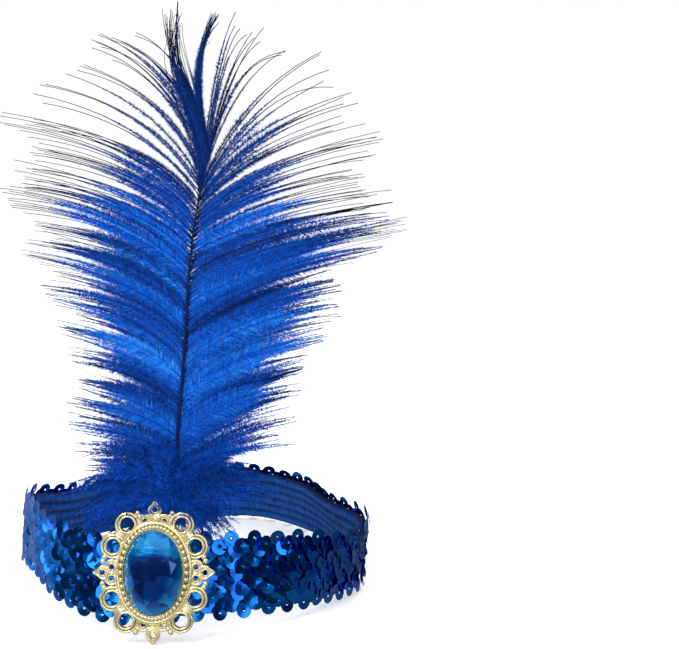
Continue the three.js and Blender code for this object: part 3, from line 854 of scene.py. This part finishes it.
def feathered(name, paths, tone, seed, width, fine, spacing, length, bare_foot, open_from, loose):
    """Strands with barbules in two rows. Their width runs from width at the root to fine at the
    tip. Barbules stand at each spacing, from bare_foot to open_from along the strand. tone is one
    strand's shade, from navy to bright, and loose is how far barbules stray out of its plane."""
    draw = np.random.default_rng(seed)
    number, steps, _ = paths.shape
    bare_foot = np.broadcast_to(bare_foot, number)
    way = unit(np.gradient(paths, axis=1))
    across = unit(np.cross(way, np.array([0.0, -1.0, 0.0])) + 1e-9)
    depth = np.cross(across, way)
    taper = np.linspace(width, fine, steps)[None, :, None] / 2
    core = np.stack([paths + (across * a + depth * b) * taper for a, b in core_corners], axis=2)
    core_points = core.reshape(-1, 3)
    index = np.arange(number * steps * 3).reshape(number, steps, 3)
    after = np.roll(index, -1, axis=2)
    walls = np.stack([index[:, :-1], after[:, :-1], after[:, 1:], index[:, 1:]], axis=-1).reshape(-1, 4)
    caps = np.concatenate([index[:, 0, ::-1], index[:, -1]])
    along_core = np.repeat(np.linspace(0, 1, steps)[None, :, None], 3, axis=2) * np.ones((number, 1, 1))
    darker = np.clip(core_foot - core_slope * along_core, core_least, 1)
    core_tone = core_dark * tone[:, None, None] * darker
    # Barbules: slender blades from both sides of the strand that lean towards its tip
    run = np.linalg.norm(np.diff(paths, axis=1), axis=2).sum(axis=1)
    per_strand = np.maximum((run * (open_from - bare_foot) / spacing).astype(int), 2)
    owner = np.repeat(np.arange(number), per_strand)
    blades = len(owner)
    place = bare_foot[owner] + draw.uniform(0, 1, blades) * (open_from - bare_foot)[owner]
    step = np.minimum((place * (steps - 1)).astype(int), steps - 2)
    part = (place * (steps - 1) - step)[:, None]
    start = paths[owner, step] * (1 - part) + paths[owner, step + 1] * part
    forward = way[owner, step]
    sideways = across[owner, step] * np.where(draw.random(blades) < 0.5, 1, -1)[:, None]
    stray = draw.normal(0, loose, blades) * np.clip(place * stray_slope, stray_least, 1)
    stray = depth[owner, step] * stray[:, None]
    heading = unit(sideways + stray + forward * draw.uniform(*blade_lean, blades)[:, None])
    fade = np.clip((open_from[owner] - place) / open_from[owner] * end_slope, end_least, 1)
    fade = fade * np.clip(place * foot_slope, foot_least, 1)
    size = length[owner] * draw.uniform(*blade_size, blades) * fade
    end = start + heading * size[:, None]
    foot = forward * draw.uniform(*blade_foot, blades)[:, None]
    blade_points = np.stack([start - foot, start + foot, end], axis=1).reshape(-1, 3)
    first = np.arange(blades) * 3 + len(core_points)
    blade_tone = tone[owner] * draw.uniform(*blade_shade, blades)
    dark_foot = blade_tone * blade_foot_dark
    blade_tone = np.stack([dark_foot, dark_foot, blade_tone], axis=1)
    mesh = bpy.data.meshes.new(name)
    triangles = np.concatenate([caps, np.stack([first, first + 1, first + 2], axis=1)])
    points = np.concatenate([core_points, blade_points])
    mesh.from_pydata(points, [], walls.tolist() + triangles.tolist())
    shades = np.concatenate([core_tone.ravel(), blade_tone.ravel()])
    mesh.attributes.new("tone", "FLOAT", "POINT").data.foreach_set("value", shades)
    mesh.shade_smooth()
    return make_object(name, mesh)


def locked(paths, group, draw, low, high, power, release=0.0):
    """Each group's outer ends draw together towards its longest strand, into a lock. The pull grows
    along the strands, and past the middle it lets go again by the share in release."""
    t = np.linspace(0, 1, paths.shape[1])[None, :, None]
    share = t**power * (1 - release * t**3)
    tip = paths[:, -1]
    for member in np.unique(group):
        same = group == member
        longest = tip[same][np.argmax(np.linalg.norm(tip[same] - paths[same, 0], axis=1))]
        pull = (longest - tip[same]) * draw.uniform(low, high, same.sum())[:, None]
        paths[same] += pull[:, None] * share
    return paths


# How evenly the roots are spaced, and how far each lies behind the quill's middle
root_gaps, root_back = (0.3, 1.7), 0.0006
# Locks change width along the quill in a wave, which is out of step on the two sides
wave_size, wave_rate, wave_shift = 0.45, 1900, 2
barb_length, barb_least, barb_most = (0.98, 0.08), 0.6, 1.06
# Each lock's own depth behind the quill, with its limits, then its barbs' spread round it
lock_depth_spread, lock_depth_limits = (0.003, 0.0045), (-0.006, 0.012)
tip_depth_spread, tip_rise_spread, root_spread = 0.002, 0.0016, 0.0012
# Where the bend lies between root and tip: sideways and up, left and right
bow_left, bow_right, bow_depth = (0.3, 0.8), (0.35, 0.75), 0.5
bend_spread, bend_back, barb_steps = 0.0011, 0.002, 16


def vane_barbs(low, high, draw, barb_step, lock_step, reach, pull, power, release):
    """Barbs of both sides with roots between two heights: their paths, locks' numbers and roots."""
    per_side = int((high - low) / barb_step)
    height = np.concatenate([
        low + (high - low) * np.cumsum(gaps) / gaps.sum()
        for gaps in draw.uniform(*root_gaps, (2, per_side))
    ])
    number = len(height)
    left = np.arange(number) < per_side
    root = quill_at(height) + np.array([0, root_back, 0])
    wave = wave_size * np.sin(height * wave_rate + left * wave_shift)
    group = np.floor((height - low) / lock_step + wave + 1).astype(int) * 2 + left
    middle = height + draw.normal(0, root_spread, number)
    middle = np.clip(middle, reach_table[0, 0], reach_table[-1, 0])
    left_x, left_z, right_x, right_z = (
        np.interp(middle, reach_table[:, 0], reach_table[:, column]) for column in (1, 2, 3, 4)
    )
    reach_x, reach_z = np.where(left, left_x, right_x), np.where(left, left_z, right_z)
    full = np.column_stack([reach_x + band_place[0], root[:, 1], reach_z]) - root
    lock_long = draw.uniform(*reach, group.max() + 1)
    barb_long = np.clip(draw.normal(*barb_length, number), barb_least, barb_most)
    tip = root + full * (lock_long[group] * barb_long)[:, None]
    lock_depth = np.clip(draw.normal(*lock_depth_spread, group.max() + 1), *lock_depth_limits)
    tip[:, 1] += lock_depth[group] + draw.normal(0, tip_depth_spread, number)
    tip[:, 2] += draw.normal(0, tip_rise_spread, number)
    bow_x, bow_z = (np.where(left, a, b) for a, b in zip(bow_left, bow_right))
    bow = np.column_stack([bow_x, np.full(number, bow_depth), bow_z])
    bend_point = root + (tip - root) * bow + draw.normal(0, bend_spread, (number, 3))
    bend_point[:, 1] += bend_back
    paths = strands((root, bend_point, tip), barb_steps)
    return locked(paths, group, draw, *pull, power, release), group, height


# The quill's radius at its foot, and the shares of it at three heights
quill_radius = 0.00085
quill_heights, quill_shares = (0.022, 0.17, 0.226), (1, 0.36, 0.25)
quill_curve = bpy.data.curves.new("quill_line", "CURVE")
quill_curve.dimensions = "3D"
line = quill_curve.splines.new("NURBS")
line.points.add(len(quill_points) - 1)
line.use_endpoint_u = True
line.order_u = 3
for knot, place in zip(line.points, quill_points):
    knot.co = (*place, 1)
    knot.radius = float(np.interp(place[2], quill_heights, quill_shares))
quill_curve.bevel_depth = quill_radius
quill_curve.bevel_resolution = 2
quill_curve.use_fill_caps = True
quill_line = make_object("quill_line", quill_curve)
depsgraph = bpy.context.evaluated_depsgraph_get()
quill = make_object("plume_quill", bpy.data.meshes.new_from_object(quill_line.evaluated_get(depsgraph)))
bpy.data.objects.remove(quill_line)
quill.data.shade_smooth()

feather, nodes, shader = make_material("dyed_feather", Roughness=0.6, Specular_IOR_Level=0.1)
tone_value = add_node(nodes, "ShaderNodeAttribute", {"attribute_name": "tone"})
tinted(
    nodes, tone_value, "Fac", shader,
    (0, (0.0, 0.002, 0.018, 1)),
    (0.25, (0.0, 0.016, 0.13, 1)),
    (0.55, (0.001, 0.09, 0.58, 1)),
    (0.8, (0.003, 0.16, 0.86, 1)),
    (1, (0.04, 0.37, 1.0, 1)),
)

quill_dye, nodes, shader = make_material("dyed_quill", Roughness=0.55, Specular_IOR_Level=0.15)
quill_grain = add_node(nodes, "ShaderNodeTexNoise", Scale=300)
tinted(
    nodes, quill_grain, "Fac", shader,
    (0, (0.0, 0.004, 0.03, 1)), (1, (0.0, 0.015, 0.09, 1)),
)
quill.data.materials.append(quill_dye)

plume_pieces = [quill]
# Height of the root, then barbule length, the share of a barb that carries barbules, its shade and
# the share that is bare at its root
vane_table = np.array([
    (0.055, 0.0046, 0.97, 0.60, 0.0),
    (0.100, 0.0043, 0.92, 0.72, 0.0),
    (0.125, 0.0038, 0.84, 0.70, 0.0),
    (0.140, 0.0029, 0.78, 0.64, 0.0),
    (0.152, 0.0022, 0.66, 0.54, 0.0),
    (0.160, 0.0017, 0.70, 0.44, 0.03),
    (0.176, 0.0014, 0.72, 0.36, 0.06),
])
# Ranges of a lock's and a barb's shade, of the barbed share and of the barbules' length
lock_shade, barb_shade, tone_limits = (0.72, 1.28), 0.18, (0.2, 1.1)
barbed_spread, barbed_limits = 0.08, (0.25, 1)
lock_fullness, barb_fullness = (0.68, 1.2), (0.8, 1.15)
fine_share, blade_step, barb_loose = 0.6, 0.000085, 0.4
# Piece, its roots' lowest and highest, barb step, lock step, how thick its barbs are, how long its
# locks are, how far their ends draw together, that pull's power and release
for name, low, high, barb_step, lock_step, thick, reach, pull, power, release in (
    ("plume_low", 0.055, 0.092, 0.00044, 0.0026, 0.00034, (0.90, 1.17), (0.05, 0.8), 2.2, 0),
    ("plume_middle", 0.092, 0.128, 0.00043, 0.0028, 0.00034, (0.90, 1.15), (0.1, 0.85), 2.0, 0),
    ("plume_high", 0.128, 0.158, 0.00056, 0.0030, 0.00042, (0.82, 1.05), (0.3, 0.95), 1.6, 0.3),
    ("plume_crown", 0.158, 0.178, 0.00095, 0.0032, 0.00048, (0.90, 1.07), (0.3, 0.95), 1.2, 0.6),
):
    seed = int(low * 1000)
    draw = np.random.default_rng(seed)
    paths, group, height = vane_barbs(low, high, draw, barb_step, lock_step, reach, pull, power, release)
    barbule, barbed, shade_level, bare_foot = (
        np.interp(height, vane_table[:, 0], vane_table[:, column]) for column in (1, 2, 3, 4)
    )
    locks, barbs = group.max() + 1, len(paths)
    lock_tone = draw.uniform(*lock_shade, locks)
    tone = np.clip(shade_level * lock_tone[group] * draw.normal(1, barb_shade, barbs), *tone_limits)
    share = np.clip(barbed + draw.normal(0, barbed_spread, barbs), *barbed_limits)
    lock_full = draw.uniform(*lock_fullness, locks)
    sizes = barbule * lock_full[group] * draw.uniform(*barb_fullness, barbs)
    plume_pieces.append(feathered(
        name, paths, tone, seed, thick, thick * fine_share, blade_step, sizes, bare_foot, share,
        barb_loose,
    ))

# The quill's soft end carries two dense clumps of barbs pressed together. Each row is one clump's
# piece and strands: how many, four control points in x and z, their spread sideways and at the
# tip, and how much of each is barbed.
clumps = (
    (
        "plume_clump_left", 40,
        ((0.0174, 0.165), (0.0202, 0.186), (0.0052, 0.202), (0.0080, 0.2235)),
        0.0030, 0.0024, 0.80,
    ),
    (
        "plume_clump_right", 22,
        ((0.0180, 0.168), (0.0160, 0.188), (0.0135, 0.208), (0.0226, 0.2235)),
        0.0012, 0.0007, 0.98,
    ),
)
clump_y, clump_flat, clump_rise = -0.0556, 0.4, 0.0005
clump_roots, clump_short, clump_bare = (-0.008, 0.010), 0.004, 0.02
clump_width, clump_fine, clump_step = 0.00036, 0.0002, 0.0001
clump_seed, clump_shade, clump_barbule = 6, (0.26, 0.46), (0.0012, 0.0019)
clump_barbed_spread, clump_barbed_limits = 0.06, (0.4, 1)
draw = np.random.default_rng(5)
for name, number, places, spread, tip_spread, barbed in clumps:
    controls = []
    for wide, (x, z) in zip((0, spread, spread, tip_spread), places):
        spot = np.array([x, clump_y, z]) + band_place
        strays = draw.normal(0, 1, (number, 3)) * np.array([wide, wide * clump_flat, clump_rise])
        controls.append(spot + strays)
    controls[0] = quill_at(places[0][1] + draw.uniform(*clump_roots, number))
    controls[3][:, 2] -= np.abs(draw.normal(0, clump_short, number))
    tone = draw.uniform(*clump_shade, number)
    sizes = draw.uniform(*clump_barbule, number)
    share = np.clip(draw.normal(barbed, clump_barbed_spread, number), *clump_barbed_limits)
    plume_pieces.append(feathered(
        name, strands(controls, barb_steps), tone, clump_seed, clump_width, clump_fine, clump_step,
        sizes, clump_bare, share, barb_loose,
    ))
for piece in plume_pieces:
    if piece is not quill:
        piece.data.materials.append(feather)
    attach(piece, "root")
    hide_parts("ostrich_plume")


# The down: a tuft of short marabou bound round the quill, which spills over the band's top edge
# and hides where the quill goes in behind the brooch.
down_middle = np.array([0.004, -0.0585, 0.053]) + band_place
down_reach = np.array([0.040, 0.013, 0.0195])
brooch_back = -0.0625 + band_place[1]
strand_count = 400
draw = np.random.default_rng(32)
turn = draw.uniform(0, 2 * np.pi, strand_count)
level = draw.uniform(-1, 1, strand_count)
reach_out = draw.uniform(0.62, 1.03, strand_count)[:, None]
tip = np.column_stack([np.cos(turn), level, np.sin(turn)])
tip = down_middle + tip * down_reach * reach_out
# Some of it hangs low on both sides of the brooch. Each row is one side's strands, its nearest and
# farthest x and its lowest z, measured from the down's middle.
right_hanging, left_hanging = 110, 40
hanging_highest, hanging_depth = -0.011, (-0.007, 0.002)
strand_index = np.arange(strand_count)
for hanging, near, far, lowest in (
    (strand_index < right_hanging, -0.001, 0.026, -0.0205),
    (strand_index >= strand_count - left_hanging, -0.036, -0.02, -0.0175),
):
    tip[hanging] = down_middle + np.column_stack([
        draw.uniform(near, far, hanging.sum()),
        draw.uniform(*hanging_depth, hanging.sum()),
        draw.uniform(lowest, hanging_highest, hanging.sum()),
    ])
# Low at the front the down stays behind the brooch, and beside the brooch it hangs over the band
brooch_half, over_band, low_height = 0.022, 0.004, 0.058
beside = np.abs(tip[:, 0] - down_middle[0]) > brooch_half
nearest = np.where(beside, brooch_back - over_band, brooch_back)
tip[:, 1] = np.where(tip[:, 2] < low_height, np.maximum(tip[:, 1], nearest), tip[:, 1])
bound_from, bound_to, bound_spread = 0.046, 0.060, 0.0008
root = quill_at(draw.uniform(bound_from, bound_to, strand_count))
root = root + draw.normal(0, bound_spread, (strand_count, 3))
rise_at_bend, bend_stray = np.array([0, 0, 0.006]), 0.0015
bend_point = root + (tip - root) * 0.5 + rise_at_bend
bend_point = bend_point + draw.normal(0, bend_stray, (strand_count, 3))
# Strands that point much the same way hang together
lock_angle, lock_layers = 0.2, 1.49
group = np.floor(turn / lock_angle).astype(int) * 3 + np.floor((level + 1) * lock_layers).astype(int)
down_pull, down_power, down_steps, down_seed = (0.1, 0.8), 2.0, 11, 33
paths = strands((root, bend_point, tip), down_steps)
paths = locked(paths, group, draw, *down_pull, down_power)
tone = draw.uniform(0.38, 0.66, strand_count)
sizes = draw.uniform(0.0028, 0.0046, strand_count)
share = draw.uniform(0.9, 1, strand_count)
down_width, down_fine, down_step, down_bare, down_loose = 0.00024, 0.00012, 0.00008, 0.01, 0.9
down = feathered(
    "marabou_down", paths, tone, down_seed, down_width, down_fine, down_step, sizes, down_bare,
    share, down_loose,
)
down.data.materials.append(feather)
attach(down, "root")
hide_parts("down_tuft")

low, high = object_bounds()
